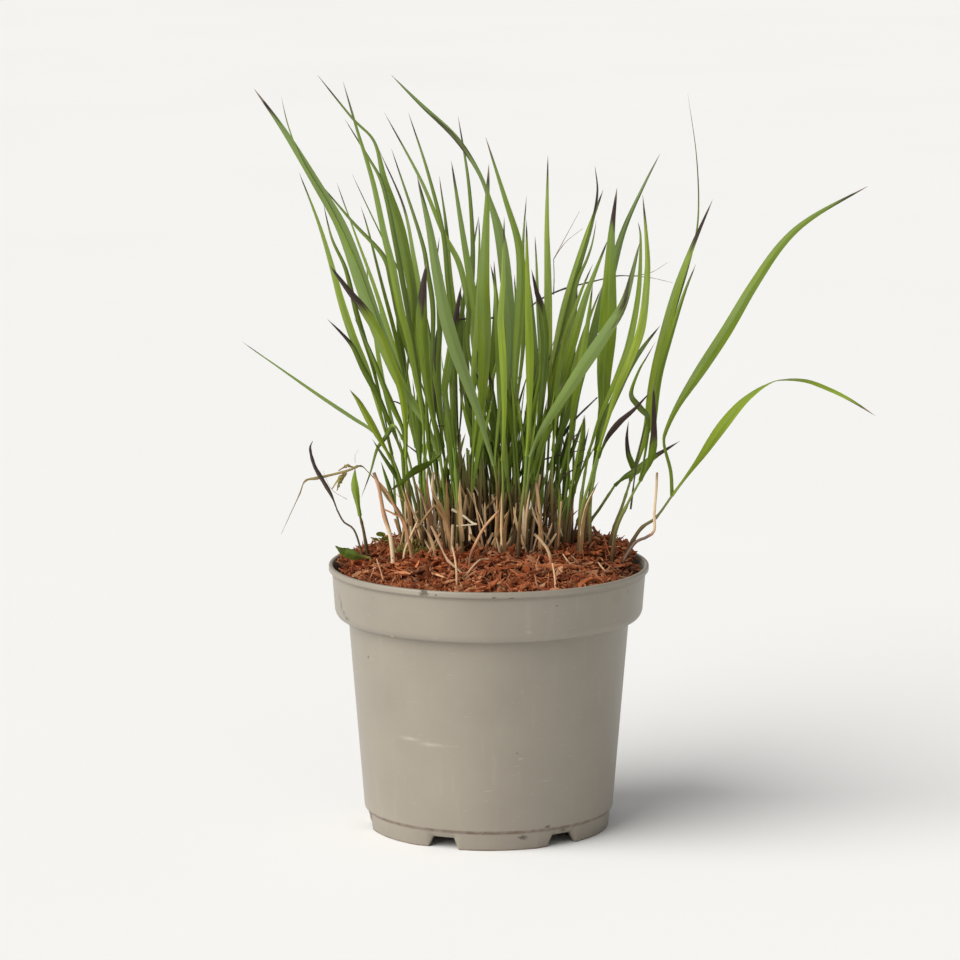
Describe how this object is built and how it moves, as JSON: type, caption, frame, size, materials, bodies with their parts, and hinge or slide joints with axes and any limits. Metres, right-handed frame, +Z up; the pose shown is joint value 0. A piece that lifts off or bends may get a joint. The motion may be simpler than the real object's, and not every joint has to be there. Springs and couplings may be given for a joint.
{
  "type": "potted ornamental grass",
  "caption": "Clump of upright ornamental grass with keeled, tapering blades, growing through bark mulch in a round tapered nursery pot with a deep collar.",
  "frame": {"origin": "middle of the model's box at the height of the pot's foot, on the ground", "axes": "+Z up, +X to the right as seen in the picture, -Y towards the pictured side"},
  "size_m": [0.3743, 0.1892, 0.4458],
  "materials": {
    "pot": "satin",
    "compost": "matte",
    "bark": "matte",
    "grass": "satin",
    "straw": "matte",
    "dry_leaf": "matte",
    "weed": "matte"
  },
  "bodies": {
    "root": {"bark_mulch": "bark", "compost": "compost", "dead_leaf_01": "dry_leaf", "dead_leaf_02": "dry_leaf", "pot": "pot", "shoot_01": "grass", "shoot_02": "grass", "shoot_03": "grass", "shoot_04": "grass", "shoot_05": "grass", "shoot_06": "grass", "shoot_07": "grass", "shoot_08": "grass", "shoot_09": "grass", "shoot_10": "grass", "shoot_11": "grass", "shoot_12": "grass", "shoot_13": "grass", "shoot_14": "grass", "shoot_15": "grass", "shoot_16": "grass", "shoot_17": "grass", "shoot_18": "grass", "shoot_19": "grass", "shoot_20": "grass", "shoot_21": "grass", "shoot_22": "grass", "shoot_23": "grass", "shoot_24": "grass", "shoot_25": "grass", "shoot_26": "grass", "shoot_27": "grass", "shoot_28": "grass", "shoot_29": "grass", "shoot_30": "grass", "shoot_31": "grass", "shoot_32": "grass", "shoot_33": "grass", "shoot_34": "grass", "shoot_35": "grass", "shoot_36": "grass", "shoot_37": "grass", "shoot_38": "grass", "shoot_39": "grass", "shoot_40": "grass", "shoot_41": "grass", "shoot_42": "grass", "shoot_43": "grass", "shoot_44": "grass", "shoot_45": "grass", "straw_01": "straw", "straw_02": "straw", "straw_03": "straw", "straw_04": "straw", "straw_05": "straw", "straw_06": "straw", "straw_07": "straw", "straw_08": "straw", "weed_leaf": "weed"}
  },
  "joints": []
}
